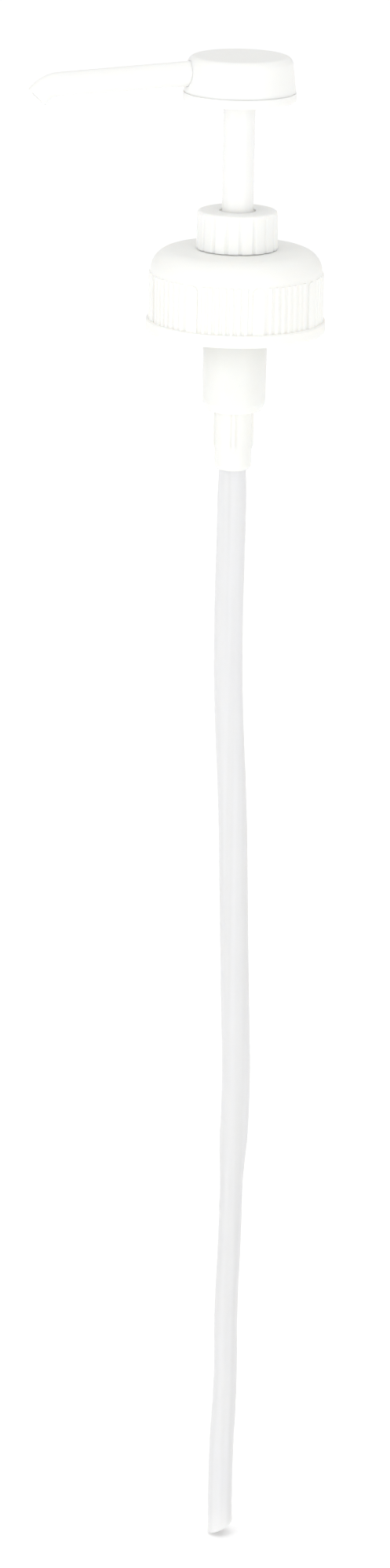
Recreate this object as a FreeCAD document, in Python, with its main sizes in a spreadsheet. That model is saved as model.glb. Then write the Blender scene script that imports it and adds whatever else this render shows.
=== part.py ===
import FreeCAD, Part
import math
import os
import Sketcher
from FreeCAD import Placement, Rotation, Vector

# Canister dispensing pump with a wide screw cap, a swivelling push head and a long dip tube.
# Millimetres, Z up along the pump's axis. Z = 0 is the underside of the gasket, where the
# canister's neck ends. The spout points along -X.

# Driving sizes: name, value, what it is
SIZES = [
    # what sits on the canister's neck
    ("gasket_thickness", 2.0, "flat gasket on the neck's rim"),
    ("gasket_inset", 0.2, "how much smaller the gasket is than the disc above it"),
    ("gasket_hole_radius", 20.0, "inside of the gasket"),
    ("flange_radius", 28.4, "disc of the pump body that the cap presses down"),
    ("flange_thickness", 2.2, "that disc"),
    ("centring_ring_width", 1.5, "ring under the disc that centres the gasket"),
    ("centring_ring_depth", 3.0, "that ring, below the disc"),
    # barrel of the pump body
    ("bore_radius", 10.4, "cylinder that the piston runs in"),
    ("barrel_radius", 12.4, "outside of the barrel at the disc, and of its neck above"),
    ("barrel_taper", 0.35, "how much smaller the barrel's radius is at its lower end"),
    ("barrel_chamfer_drop", 3.0, "chamfer round the barrel's lower end, along the axis"),
    ("barrel_chamfer_width", 1.45, "that chamfer, across"),
    ("floor_thickness", 2.0, "floor of the barrel"),
    ("neck_bead", 0.5, "snap bead round the neck, above its radius"),
    ("bead_rise", 5.4, "height of the bead's foot above the collar's lower edge"),
    ("bead_width", 1.5, "bead, along the axis"),
    ("vent_radius", 1.0, "air hole through the barrel between the seal's two lips"),
    # valve below the barrel
    ("inlet_ball_radius", 3.9, "suction valve ball"),
    ("inlet_ball_lift", 2.5, "how far that ball rises"),
    ("inlet_ball_room", 0.8, "gap round that ball in its chamber"),
    ("inlet_hole_radius", 2.6, "hole below the suction valve's seat"),
    ("inlet_hole_length", 3.8, "from the seat to the dip tube's end"),
    ("tube_socket_depth", 12.0, "how far the dip tube goes in"),
    ("socket_wall", 1.85, "wall round the dip tube's upper end"),
    ("socket_chamfer", 1.2, "chamfer round the socket's mouth, along the axis"),
    ("socket_chamfer_width", 0.9, "that chamfer, across"),
    ("rib_count", 4, "ribs on the outside of the valve socket"),
    ("rib_thickness", 1.2, "those ribs"),
    ("rib_reach_top", 0.45, "how far a rib stands out at the barrel"),
    ("rib_reach_low", 0.95, "how far a rib stands out at its lower end"),
    ("rib_length", 13.4, "ribs, along the axis"),
    ("rib_end_slope", 2.2, "sloping lower end of a rib"),
    ("rib_sink", 0.5, "how far a rib reaches up into the barrel's floor"),
    ("rib_turn", -15.0, "angle of the first rib round the axis"),
    # ball cage on the barrel's floor
    ("cage_thickness", 1.7, "disc over the suction ball"),
    ("cage_hole_radius", 1.1, "each hole through that disc"),
    ("cage_hole_place", 1.9, "those holes, from the axis"),
    ("cage_hole_count", 3, "those holes"),
    ("cage_rim_height", 1.0, "rim round the spring's foot"),
    ("cage_rim_width", 0.9, "that rim"),
    # dip tube
    ("tube_radius", 5.2, "outside of the dip tube"),
    ("tube_wall", 1.2, "its wall"),
    ("tube_wave_turn", -15.0, "angle round the axis of the plane in which the tube is bowed"),
    ("tube_end_cut", 28.0, "slant of its cut lower end"),
    # screw cap
    ("crown_room", 3.5, "from the disc's top to the underside of the cap's crown"),
    ("cap_wall", 2.3, "crown and wall of the cap"),
    ("cap_hole_gap", 0.7, "gap round the neck in the cap's hole"),
    ("crown_fall", 0.8, "how much lower the crown's rim is than its middle"),
    ("thread_room", 2.1, "from the disc's edge out to the cap's inner wall, for the thread"),
    ("shoulder_round", 8.0, "round between crown and wall"),
    ("cap_flange_reach", 1.5, "flange round the cap's lower edge, beyond the wall"),
    ("cap_flange_height", 4.9, "that flange"),
    ("cap_flange_round", 0.6, "its upper edge"),
    ("cap_foot_round", 1.1, "its lower edge"),
    ("cap_depth", 32.0, "from the top of the crown to the cap's lower edge"),
    ("press_ring_inset", 4.9, "from the disc's edge in to the ring that presses on it"),
    ("press_ring_width", 3.0, "that ring"),
    ("grip_reach", 0.65, "how far the grip ribs and pads stand out"),
    ("grip_top_drop", 9.3, "from the top of the crown to the top of the ribs and pads"),
    ("pad_count", 8, "wide arched pads round the cap"),
    ("pad_width", 4.3, "those pads"),
    ("fine_rib_count", 7, "fine ribs between two pads"),
    ("fine_rib_pitch", 4.75, "angle from one fine rib to the next"),
    ("fine_rib_foot", 1.9, "width of a fine rib at the wall"),
    ("fine_rib_crest", 0.8, "width of a fine rib at its crest"),
    # collar, guide and wiper
    ("collar_height", 14.4, "knurled collar above the cap"),
    ("collar_top_radius", 15.3, "outside of the collar at its top"),
    ("collar_foot_radius", 15.6, "outside of the collar at its lower edge"),
    ("collar_edge_round", 1.2, "its top edge"),
    ("collar_roof", 2.0, "its top wall"),
    ("collar_hole_gap", 1.0, "gap round the stem in the collar's top"),
    ("flute_count", 18, "grooves round the collar"),
    ("flute_radius", 1.0, "round of each groove"),
    ("flute_depth", 0.45, "depth of a groove at mid height"),
    ("guide_length", 15.2, "stem guide below the neck's rim"),
    ("guide_wall", 1.7, "tube of the guide round the stem"),
    ("guide_ring", 2.0, "ring at the guide's lower end and its upper land"),
    ("guide_flange_thickness", 1.6, "its flange"),
    ("guide_seal_thickness", 1.0, "flat seal between the neck's rim and that flange"),
    ("guide_seal_width", 1.5, "that seal, across"),
    ("wiper_height", 1.3, "foot of the wiper ring"),
    ("wiper_lip_width", 0.7, "its lip round the stem"),
    ("wiper_lip_taper", 0.25, "how much thinner that lip is at its top"),
    ("wiper_lip_height", 1.6, "that lip, above the foot"),
    ("wiper_foot_width", 3.4, "foot of the wiper ring, across"),
    # piston
    ("stroke_length", 38.0, "travel of the head"),
    ("carrier_height", 12.6, "spool on the stem's lower end that carries the seal"),
    ("carrier_flange", 1.5, "each flange of that spool"),
    ("carrier_floor", 2.5, "from the spool's lower face to the stem's end"),
    ("carrier_wall", 1.2, "spool round the stem"),
    ("carrier_gap", 0.8, "from the spool's flanges to the bore"),
    ("seal_lip_land", 0.95, "cylindrical part of each lip of the piston seal"),
    ("seal_lip_slope", 1.5, "sloping part of each lip"),
    ("seal_waist", 0.8, "how much smaller the seal is between its lips"),
    ("end_room", 1.4, "from the spool to the ball cage at the end of the stroke"),
    # stem and spring
    ("stem_radius", 6.0, "outside of the hollow stem"),
    ("stem_bore_radius", 4.5, "its wide lower bore, round the spring"),
    ("stem_channel_radius", 3.0, "its upper bore"),
    ("stem_throat_radius", 1.9, "its bore just below the upper ball"),
    ("stem_throat_length", 1.7, "that narrow bore"),
    ("seat_rim_radius", 3.7, "outer edge of the cone that the upper ball sits in"),
    ("spring_length", 71.9, "return spring with the head up"),
    ("spring_radius", 3.7, "spring, to the middle of its wire"),
    ("spring_wire", 1.1, "thickness of its wire"),
    ("spring_turns", 11, "turns of the spring"),
    # head
    ("head_room", 3.7, "from the collar to the head's underside at the end of the stroke"),
    ("rim_height", 3.5, "rim of the head's base plate"),
    ("rim_radius", 21.4, "outside of that rim"),
    ("rim_round", 1.0, "its lower edge"),
    ("plate_thickness", 2.0, "base plate of the head"),
    ("groove_height", 0.4, "open joint line between base plate and shell"),
    ("groove_depth", 0.6, "that joint line, inwards"),
    ("base_spigot_height", 0.7, "ring of the base plate inside the shell"),
    ("base_spigot_width", 1.4, "that ring, across"),
    ("base_spigot_gap", 0.2, "from that ring to the shell"),
    ("stem_boss_wall", 0.7, "boss of the base plate round the stem"),
    ("stem_boss_drop", 1.0, "that boss, below the plate"),
    ("head_height", 13.2, "shell of the head"),
    ("head_crown_radius", 19.7, "shell's side wall carried up to its top"),
    ("head_skirt_radius", 21.15, "shell's side wall at its lower edge"),
    ("head_edge_round", 3.0, "shell's top edge"),
    ("head_wall", 2.0, "shell's walls"),
    ("chamber_wall", 2.0, "boss of the shell round the stem"),
    ("stem_socket_depth", 5.5, "how far the stem goes into the shell's boss"),
    ("outlet_ball_radius", 3.2, "upper valve ball"),
    ("outlet_ball_lift", 2.0, "how far that ball rises"),
    ("outlet_ball_room", 0.55, "gap round that ball in its cage"),
    ("outlet_cage_wall", 0.65, "wall and top of that cage"),
    ("outlet_cage_windows", 3, "openings in that cage's side"),
    ("outlet_window_width", 4.4, "each of those openings"),
    ("outlet_window_sill", 0.8, "foot of the cage below those openings"),
    # spout
    ("spout_drop", 5.3, "from the head's top to the spout's centre line, at the pump's axis"),
    ("spout_slope", 3.0, "how far the spout points down"),
    ("spout_root_radius", 4.85, "spout in the head"),
    ("spout_bend_radius", 4.4, "spout at its bend"),
    ("spout_bore_radius", 2.8, "channel of the spout"),
    ("spout_inner_end", 12.0, "spout's inner end, from the pump's axis"),
    ("spout_straight_end", 70.0, "end of the straight part, from the pump's axis"),
    ("spout_bend_round", 10.5, "bend of the spout's centre line"),
    ("spout_end_angle", 45.0, "how far the outlet points down"),
    ("spout_tip_length", 2.5, "straight part after the bend"),
    ("spout_socket_wall", 1.35, "wall of the head round the spout"),
    ("spout_socket_sink", 0.35, "how far that wall's block reaches into the roof"),
    ("spout_socket_reach", 0.65, "how far it reaches into the shell's side, at its top"),
    # clearances
    ("turn_gap", 0.2, "faces that turn or slide on each other"),
    ("running_gap", 0.08, "stem in its guide and wiper"),
    ("lip_gap", 0.03, "piston seal's lips in the bore"),
    ("press_gap", 0.02, "pieces pressed together"),
    ("snap_gap", 0.1, "pieces snapped together"),
    ("stop_gap", 0.3, "piston below the guide with the head up"),
    ("ball_gap", 0.05, "balls off their seats"),
]

# Route of the dip tube: how far it is bowed sideways, and how far it lies below its upper end
TUBE_ROUTE = [
    (0.0, 0.0),
    (0.0, 36.0),
    (-0.6, 73.0),
    (0.1, 108.0),
    (2.6, 148.0),
    (3.8, 190.0),
    (5.0, 230.0),
    (6.4, 266.0),
    (5.0, 302.0),
    (4.8, 334.0),
    (3.7, 364.0),
    (4.4, 396.0),
    (2.6, 430.0),
    (3.2, 462.0),
]
ARC_SHARE = 0.45
SQUARE_ROOT_OF_TWO = math.sqrt(2.0)

os.makedirs("parts", exist_ok=True)
doc = FreeCAD.newDocument("canister_pump")
sheet = doc.addObject("Spreadsheet::Sheet", "Sizes")
for row, (name, number, meaning) in enumerate(SIZES, start=1):
    sheet.set(f"A{row}", name)
    sheet.set(f"B{row}", str(number))
    sheet.setAlias(f"B{row}", name)
    sheet.set(f"C{row}", meaning)
doc.recompute()


class Size:
    """A length worked out from the sheet: its number now, and the expression that ties it there."""

    def __init__(self, number, text):
        self.number = number
        self.text = text

    def __add__(self, other):
        other = as_size(other)
        return Size(self.number + other.number, f"({self.text} + {other.text})")

    def __sub__(self, other):
        other = as_size(other)
        return Size(self.number - other.number, f"({self.text} - {other.text})")

    def __mul__(self, other):
        other = as_size(other)
        return Size(self.number * other.number, f"({self.text} * {other.text})")

    def __truediv__(self, other):
        other = as_size(other)
        return Size(self.number / other.number, f"({self.text} / {other.text})")

    def __neg__(self):
        return Size(-self.number, f"(-1 * {self.text})")


def as_size(value):
    """A plain number as a Size, and a Size as it is."""
    return value if isinstance(value, Size) else Size(float(value), f"{value:.9g}")


def cell(name):
    """The Size that stands in the sheet under this name."""
    return Size(float(sheet.get(name)), f"Sizes.{name}")


def sine(angle):
    return Size(math.sin(math.radians(angle.number)), f"sin({angle.text} * 1deg)")


def cosine(angle):
    return Size(math.cos(math.radians(angle.number)), f"cos({angle.text} * 1deg)")


ZERO = Size(0.0, "0")

# Heights along the axis, from the gasket up to the head
flange_low = cell("gasket_thickness")
flange_top = flange_low + cell("flange_thickness")
crown_top = flange_top + cell("crown_room") + cell("cap_wall")
cap_bottom = crown_top - cell("cap_depth")
collar_low = crown_top + cell("turn_gap")
collar_top = collar_low + cell("collar_height")
wiper_low = collar_top - cell("collar_roof") - cell("snap_gap") - cell("wiper_height")
guide_flange_low = wiper_low - cell("guide_flange_thickness")
neck_top = guide_flange_low - cell("guide_seal_thickness")
guide_low = neck_top - cell("guide_length")
rim_low = collar_top + cell("stroke_length") + cell("head_room")
rim_top = rim_low + cell("rim_height")
shell_low = rim_top + cell("groove_height")
head_top = shell_low + cell("head_height")
plate_top = rim_low + cell("plate_thickness")
boss_low = plate_top + cell("turn_gap")
stem_top = boss_low + cell("stem_socket_depth")
spout_height = head_top - cell("spout_drop")

# Heights from the piston down to the dip tube
carrier_top = guide_low - cell("stop_gap")
carrier_low = carrier_top - cell("carrier_height")
stem_low = carrier_low + cell("carrier_floor")
cage_top = carrier_low - cell("stroke_length") - cell("end_room")
floor_top = cage_top - cell("cage_thickness")
barrel_low = floor_top - cell("floor_thickness")
spring_top = cage_top + cell("spring_length")
inlet_ball_centre = floor_top - cell("turn_gap") - cell("inlet_ball_lift") - cell("inlet_ball_radius")
inlet_cone_tip = inlet_ball_centre - (cell("inlet_ball_radius") + cell("ball_gap")) * SQUARE_ROOT_OF_TWO
inlet_seat_low = inlet_cone_tip + cell("inlet_hole_radius")
tube_top = inlet_seat_low - cell("inlet_hole_length")
socket_low = tube_top - cell("tube_socket_depth")

# Upper ball on the cone in the stem's end
throat_top = stem_top - cell("seat_rim_radius") + cell("stem_throat_radius")
throat_low = throat_top - cell("stem_throat_length")
outlet_cone_tip = throat_top - cell("stem_throat_radius")
outlet_ball_centre = outlet_cone_tip + (cell("outlet_ball_radius") + cell("ball_gap")) * SQUARE_ROOT_OF_TWO
outlet_cage_under = outlet_ball_centre + cell("outlet_ball_radius") + cell("outlet_ball_lift") + cell("turn_gap")
outlet_cage_top = outlet_cage_under + cell("outlet_cage_wall")

# Radii shared by pieces that fit each other
gasket_radius = cell("flange_radius") - cell("gasket_inset")
cap_inside = cell("flange_radius") + cell("thread_room")
cap_radius = cap_inside + cell("cap_wall")
cap_flange_radius = cap_radius + cell("cap_flange_reach")
press_ring_radius = cell("flange_radius") - cell("press_ring_inset")
tube_socket_radius = cell("tube_radius") + cell("press_gap")
socket_radius = tube_socket_radius + cell("socket_wall")
inlet_chamber_radius = cell("inlet_ball_radius") + cell("inlet_ball_room")
ring_outside = cell("gasket_hole_radius") - cell("snap_gap")
guide_bore_radius = cell("stem_radius") + cell("running_gap")
guide_flange_radius = cell("barrel_radius") - cell("snap_gap")
collar_bore_radius = cell("barrel_radius") + cell("snap_gap")
stem_fit_radius = cell("stem_radius") + cell("press_gap")
spool_core_radius = stem_fit_radius + cell("carrier_wall")
outlet_cage_bore = cell("outlet_ball_radius") + cell("outlet_ball_room")
outlet_cage_radius = outlet_cage_bore + cell("outlet_cage_wall")
outlet_chamber_radius = outlet_cage_radius + cell("press_gap")
bead_low = collar_low + cell("bead_rise")


def origin_plane(body, role):
    """The body's own origin plane with this role."""
    return next(item for item in body.Origin.OriginFeatures if item.Role == role)


def new_body(name):
    return doc.addObject("PartDesign::Body", name)


def new_sketch(body, name, plane="XZ_Plane"):
    sketch = body.newObject("Sketcher::SketchObject", name)
    sketch.AttachmentSupport = (origin_plane(body, plane), [""])
    sketch.MapMode = "FlatFace"
    return sketch


def constrain(sketch, entries):
    """Add constraints, and tie each that has a Size to the sheet. An entry is its words and numbers."""
    first = sketch.ConstraintCount
    sizes = [entry[-1] if isinstance(entry[-1], Size) else None for entry in entries]
    plain = [(*entry[:-1], size.number) if size else entry for entry, size in zip(entries, sizes)]
    sketch.addConstraint([Sketcher.Constraint(*entry) for entry in plain])
    for place, size in enumerate(sizes, start=first):
        if size:
            sketch.setExpression(f"Constraints[{place}]", size.text)


def corner_entries(item, end, across, up):
    """Constraints that hold one end of an edge at a place measured from the sketch's origin."""
    return [("DistanceX", -1, 1, item, end, across), ("DistanceY", -1, 1, item, end, up)]


def outline(body, name, corners, plane="XZ_Plane"):
    """A sketch with one closed outline of straight edges, each corner tied to the sheet."""
    sketch = new_sketch(body, name, plane)
    corners = [(as_size(across), as_size(up)) for across, up in corners]
    places = [Vector(across.number, up.number, 0) for across, up in corners]
    following = places[1:] + places[:1]
    sketch.addGeometry([Part.LineSegment(a, b) for a, b in zip(places, following)], False)
    entries = [("Coincident", i, 2, (i + 1) % len(places), 1) for i in range(len(places))]
    for i, (across, up) in enumerate(corners):
        entries += corner_entries(i, 1, across, up)
    constrain(sketch, entries)
    return sketch


def arch(body, name, half_width, foot, spring_line, plane="XZ_Plane"):
    """A sketch of a straight-sided arch: its foot, and the height where its half circle starts."""
    sketch = new_sketch(body, name, plane)
    upright = spring_line.number > foot.number
    left_foot = Vector(-half_width.number, foot.number, 0)
    right_foot = Vector(half_width.number, foot.number, 0)
    left_spring = Vector(-half_width.number, spring_line.number, 0)
    right_spring = Vector(half_width.number, spring_line.number, 0)
    circle = Part.Circle(Vector(0, spring_line.number, 0), Vector(0, 0, 1), half_width.number)
    turn = (0.0, math.pi) if upright else (math.pi, 2 * math.pi)
    sketch.addGeometry([
        Part.LineSegment(left_foot, right_foot),
        Part.LineSegment(right_foot, right_spring),
        Part.ArcOfCircle(circle, *turn),
        Part.LineSegment(left_spring, left_foot),
    ], False)
    at_right, at_left = (1, 2) if upright else (2, 1)
    entries = [
        ("Coincident", 0, 2, 1, 1),
        ("Coincident", 1, 2, 2, at_right),
        ("Coincident", 2, at_left, 3, 1),
        ("Coincident", 3, 2, 0, 1),
        ("DistanceY", -1, 1, 2, 3, spring_line),
    ]
    entries += corner_entries(0, 1, -half_width, foot)
    entries += corner_entries(0, 2, half_width, foot)
    entries += corner_entries(1, 2, half_width, spring_line)
    entries += corner_entries(3, 1, -half_width, spring_line)
    constrain(sketch, entries)
    return sketch


def round_hole(body, name, radius, across=ZERO, up=ZERO, plane="XY_Plane"):
    """A sketch with one circle, tied to the sheet."""
    sketch = new_sketch(body, name, plane)
    centre = Vector(across.number, up.number, 0)
    sketch.addGeometry(Part.Circle(centre, Vector(0, 0, 1), radius.number), False)
    constrain(sketch, [("Radius", 0, radius)] + corner_entries(0, 3, across, up))
    return sketch


def shift_sketch(sketch, across=ZERO, up=ZERO, out=ZERO, axis=Vector(0, 0, 1), turn=ZERO):
    """Move a sketch off its plane, along its own directions, and turn it about an axis of its own."""
    move = Vector(across.number, up.number, out.number)
    sketch.AttachmentOffset = Placement(move, Rotation(axis, turn.number))
    for path, size in (("Base.x", across), ("Base.y", up), ("Base.z", out)):
        sketch.setExpression(f"AttachmentOffset.{path}", size.text)
    sketch.setExpression("AttachmentOffset.Rotation.Angle", turn.text)


def turned(body, sketch, name):
    """Revolve an outline round the pump's axis."""
    feature = body.newObject("PartDesign::Revolution", name)
    feature.Profile = sketch
    feature.ReferenceAxis = (sketch, ["V_Axis"])
    feature.Angle = 360
    doc.recompute()
    return feature


def add_or_cut(kind, body, sketch, name, length, reverse=False, midplane=False):
    """Pad or Pocket a sketch, and stop if the solid didn't grow or shrink."""
    before = body.Shape.Volume if body.Tip else 0.0
    feature = body.newObject(f"PartDesign::{kind}", name)
    feature.Profile = sketch
    feature.setExpression("Length", length.text)
    feature.Reversed = reverse
    if midplane:
        feature.SideType = "Symmetric"
    doc.recompute()
    grew = feature.Shape.Volume - before
    if (grew > 0) != (kind == "Pad"):
        raise RuntimeError(f"{name} changed the volume by {grew:.3f}")
    return feature


def pattern(body, feature, name, count, angle=None):
    """Copies of a feature round the pump's axis. Without an angle they go all the way round."""
    copies = body.newObject("PartDesign::PolarPattern", name)
    copies.Originals = [feature]
    copies.Axis = (origin_plane(body, "Z_Axis"), [""])
    copies.setExpression("Occurrences", count.text)
    copies.Angle = 360
    if angle:
        copies.setExpression("Angle", angle.text)
    body.Tip = copies
    doc.recompute()
    return copies


def ring_edges(feature, rings):
    """Names of a feature's circular edges, each given by its radius and height."""
    names = []
    for i, edge in enumerate(feature.Shape.Edges, start=1):
        if edge.Curve.TypeId != "Part::GeomCircle":
            continue
        for radius, height in rings:
            near = abs(edge.Curve.Radius - radius.number) < 1e-4
            if near and abs(edge.Curve.Center.z - height.number) < 1e-4:
                names.append(f"Edge{i}")
    if not names:
        raise RuntimeError(f"{feature.Name} has no such edge")
    return names


def rounded(body, feature, name, rings, radius):
    """Fillet circular edges of a feature."""
    fillet = body.newObject("PartDesign::Fillet", name)
    fillet.Base = (feature, ring_edges(feature, rings))
    fillet.setExpression("Radius", radius.text)
    doc.recompute()
    return fillet


def ring(name, inner, outer, low, top):
    """A plain flat ring."""
    body = new_body(name)
    corners = [(inner, low), (outer, low), (outer, top), (inner, top)]
    turned(body, outline(body, f"{name}_outline", corners), f"{name}_turned")
    return body


def make_pump_body():
    """Barrel with its disc, its neck above and the valve socket below, moulded in one."""
    body = new_body("pump_body")
    barrel_foot = cell("barrel_radius") - cell("barrel_taper")
    ring_low = flange_low - cell("centring_ring_depth")
    ring_inside = ring_outside - cell("centring_ring_width")
    bead_radius = cell("barrel_radius") + cell("neck_bead")
    corners = [
        (tube_socket_radius, socket_low),
        (socket_radius - cell("socket_chamfer_width"), socket_low),
        (socket_radius, socket_low + cell("socket_chamfer")),
        (socket_radius, barrel_low),
        (barrel_foot - cell("barrel_chamfer_width"), barrel_low),
        (barrel_foot, barrel_low + cell("barrel_chamfer_drop")),
        (cell("barrel_radius"), flange_low),
        (ring_inside, flange_low),
        (ring_inside, ring_low),
        (ring_outside, ring_low),
        (ring_outside, flange_low),
        (cell("flange_radius"), flange_low),
        (cell("flange_radius"), flange_top),
        (cell("barrel_radius"), flange_top),
        (cell("barrel_radius"), bead_low),
        (bead_radius, bead_low + cell("neck_bead")),
        (bead_radius, bead_low + cell("bead_width") - cell("neck_bead")),
        (cell("barrel_radius"), bead_low + cell("bead_width")),
        (cell("barrel_radius"), neck_top),
        (cell("bore_radius"), neck_top),
        (cell("bore_radius"), floor_top),
        (inlet_chamber_radius, floor_top),
        (inlet_chamber_radius, inlet_cone_tip + inlet_chamber_radius),
        (cell("inlet_hole_radius"), inlet_seat_low),
        (cell("inlet_hole_radius"), tube_top),
        (tube_socket_radius, tube_top),
    ]
    turned(body, outline(body, "body_outline", corners), "body_turned")

    vent_height = (carrier_top + carrier_low) / 2
    vent = round_hole(body, "vent_circle", cell("vent_radius"), ZERO, vent_height, "XZ_Plane")
    add_or_cut("Pocket", body, vent, "vent_hole", cell("barrel_radius"))

    root = socket_radius - cell("socket_wall") / 2
    rib_top = barrel_low + cell("rib_sink")
    rib_low = barrel_low - cell("rib_length")
    corners = [
        (root, rib_top),
        (socket_radius + cell("rib_reach_top"), rib_top),
        (socket_radius + cell("rib_reach_low"), rib_low),
        (socket_radius, rib_low - cell("rib_end_slope")),
        (root, rib_low - cell("rib_end_slope")),
    ]
    sketch = outline(body, "rib_outline", corners)
    shift_sketch(sketch, axis=Vector(0, 1, 0), turn=cell("rib_turn"))
    rib = add_or_cut("Pad", body, sketch, "valve_rib", cell("rib_thickness"), midplane=True)
    pattern(body, rib, "valve_ribs", cell("rib_count"))
    return body


def make_ball_cage():
    """Disc on the barrel's floor that keeps the suction ball in and carries the spring."""
    body = new_body("ball_cage")
    disc_radius = cell("bore_radius") - cell("snap_gap")
    rim_inside = cell("spring_radius") + cell("spring_wire") / 2 + cell("turn_gap")
    rim_outside = rim_inside + cell("cage_rim_width")
    rim_top_height = cage_top + cell("cage_rim_height")
    corners = [
        (ZERO, floor_top),
        (disc_radius, floor_top),
        (disc_radius, cage_top),
        (rim_outside, cage_top),
        (rim_outside, rim_top_height),
        (rim_inside, rim_top_height),
        (rim_inside, cage_top),
        (ZERO, cage_top),
    ]
    turned(body, outline(body, "cage_outline", corners), "cage_turned")
    sketch = round_hole(body, "cage_hole_circle", cell("cage_hole_radius"), cell("cage_hole_place"))
    shift_sketch(sketch, out=floor_top)
    hole = add_or_cut("Pocket", body, sketch, "cage_hole", cell("cage_thickness"), reverse=True)
    pattern(body, hole, "cage_holes", cell("cage_hole_count"))
    return body


def make_screw_cap():
    """Wide ribbed cap that turns on the pump body and screws down on the canister's neck."""
    body = new_body("screw_cap")
    hole = cell("barrel_radius") + cell("cap_hole_gap")
    under = crown_top - cell("cap_wall")
    under_rim = under - cell("crown_fall") / 2
    rim_height = crown_top - cell("crown_fall")
    flange_edge = cap_bottom + cell("cap_flange_height")
    ring_low = flange_top + cell("turn_gap")
    ring_inside = press_ring_radius - cell("press_ring_width")
    corners = [
        (hole, crown_top),
        (cap_radius, rim_height),
        (cap_radius, flange_edge),
        (cap_flange_radius, flange_edge),
        (cap_flange_radius, cap_bottom),
        (cap_inside, cap_bottom),
        (cap_inside, under_rim),
        (press_ring_radius, under),
        (press_ring_radius, ring_low),
        (ring_inside, ring_low),
        (ring_inside, under),
        (hole, under),
    ]
    shell = turned(body, outline(body, "cap_outline", corners), "cap_turned")
    shell = rounded(body, shell, "cap_shoulder", [(cap_radius, rim_height)], cell("shoulder_round"))
    inner_round = cap_inside - press_ring_radius - cell("snap_gap")
    shell = rounded(body, shell, "cap_inner_round", [(cap_inside, under_rim)], inner_round)
    upper_edge = [(cap_flange_radius, flange_edge)]
    shell = rounded(body, shell, "cap_flange_edge", upper_edge, cell("cap_flange_round"))
    foot_edge = [(cap_flange_radius, cap_bottom)]
    rounded(body, shell, "cap_foot_edge", foot_edge, cell("cap_foot_round"))

    grip_top = crown_top - cell("grip_top_drop")
    grip_root = cap_radius - cell("cap_wall") / 2
    half_pad = cell("pad_width") / 2
    sketch = arch(body, "pad_outline", half_pad, flange_edge, grip_top - half_pad)
    shift_sketch(sketch, out=grip_root)
    pad = add_or_cut("Pad", body, sketch, "grip_pad", cell("grip_reach") + cell("cap_wall") / 2)
    pattern(body, pad, "grip_pads", cell("pad_count"))

    crest = cap_radius + cell("grip_reach")
    corners = [
        (grip_root, -cell("fine_rib_foot") / 2),
        (cap_radius, -cell("fine_rib_foot") / 2),
        (crest, -cell("fine_rib_crest") / 2),
        (crest, cell("fine_rib_crest") / 2),
        (cap_radius, cell("fine_rib_foot") / 2),
        (grip_root, cell("fine_rib_foot") / 2),
    ]
    sketch = outline(body, "fine_rib_section", corners, "XY_Plane")
    fan = cell("fine_rib_pitch") * (cell("fine_rib_count") - 1)
    first_angle = Size(180.0, "180") / cell("pad_count") - fan / 2
    shift_sketch(sketch, out=flange_edge, turn=first_angle)
    rib = add_or_cut("Pad", body, sketch, "fine_rib", grip_top - flange_edge)
    both = body.newObject("PartDesign::MultiTransform", "fine_ribs")
    both.Originals = [rib]
    between_pads = body.newObject("PartDesign::PolarPattern", "ribs_between_pads")
    between_pads.Axis = (origin_plane(body, "Z_Axis"), [""])
    between_pads.setExpression("Angle", fan.text)
    between_pads.setExpression("Occurrences", cell("fine_rib_count").text)
    all_round = body.newObject("PartDesign::PolarPattern", "ribs_all_round")
    all_round.Axis = (origin_plane(body, "Z_Axis"), [""])
    all_round.Angle = 360
    all_round.setExpression("Occurrences", cell("pad_count").text)
    both.Transformations = [between_pads, all_round]
    body.Tip = both
    doc.recompute()
    return body


def make_collar_nut():
    """Fluted collar that snaps over the neck's bead and holds the guide and wiper down."""
    body = new_body("collar_nut")
    hole = cell("stem_radius") + cell("collar_hole_gap")
    under = collar_top - cell("collar_roof")
    groove_radius = collar_bore_radius + cell("neck_bead")
    groove_low = bead_low - cell("snap_gap")
    groove_top = bead_low + cell("bead_width") + cell("snap_gap")
    corners = [
        (collar_bore_radius, collar_low),
        (cell("collar_foot_radius"), collar_low),
        (cell("collar_top_radius"), collar_top),
        (hole, collar_top),
        (hole, under),
        (collar_bore_radius, under),
        (collar_bore_radius, groove_top),
        (groove_radius, groove_top - cell("neck_bead")),
        (groove_radius, groove_low + cell("neck_bead")),
        (collar_bore_radius, groove_low),
    ]
    nut = turned(body, outline(body, "collar_outline", corners), "collar_turned")
    top_edge = [(cell("collar_top_radius"), collar_top)]
    rounded(body, nut, "collar_edge", top_edge, cell("collar_edge_round"))
    middle_radius = (cell("collar_top_radius") + cell("collar_foot_radius")) / 2
    flute_place = middle_radius + cell("flute_radius") - cell("flute_depth")
    sketch = round_hole(body, "flute_circle", cell("flute_radius"), flute_place)
    shift_sketch(sketch, out=collar_low)
    flute = add_or_cut("Pocket", body, sketch, "flute", cell("collar_height"), reverse=True)
    pattern(body, flute, "flutes", cell("flute_count"))
    return body


def make_stem_guide():
    """Bush in the top of the barrel that the stem slides in; the piston stops against it."""
    body = new_body("stem_guide")
    outside = cell("bore_radius") - cell("snap_gap")
    waist = guide_bore_radius + cell("guide_wall")
    land_low = guide_flange_low - cell("guide_seal_thickness") - cell("guide_ring")
    corners = [
        (guide_bore_radius, guide_low),
        (outside, guide_low),
        (outside, guide_low + cell("guide_ring")),
        (waist, guide_low + cell("guide_ring")),
        (waist, land_low),
        (outside, land_low),
        (outside, guide_flange_low),
        (guide_flange_radius, guide_flange_low),
        (guide_flange_radius, wiper_low),
        (guide_bore_radius, wiper_low),
    ]
    turned(body, outline(body, "guide_outline", corners), "guide_turned")
    return body


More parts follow.
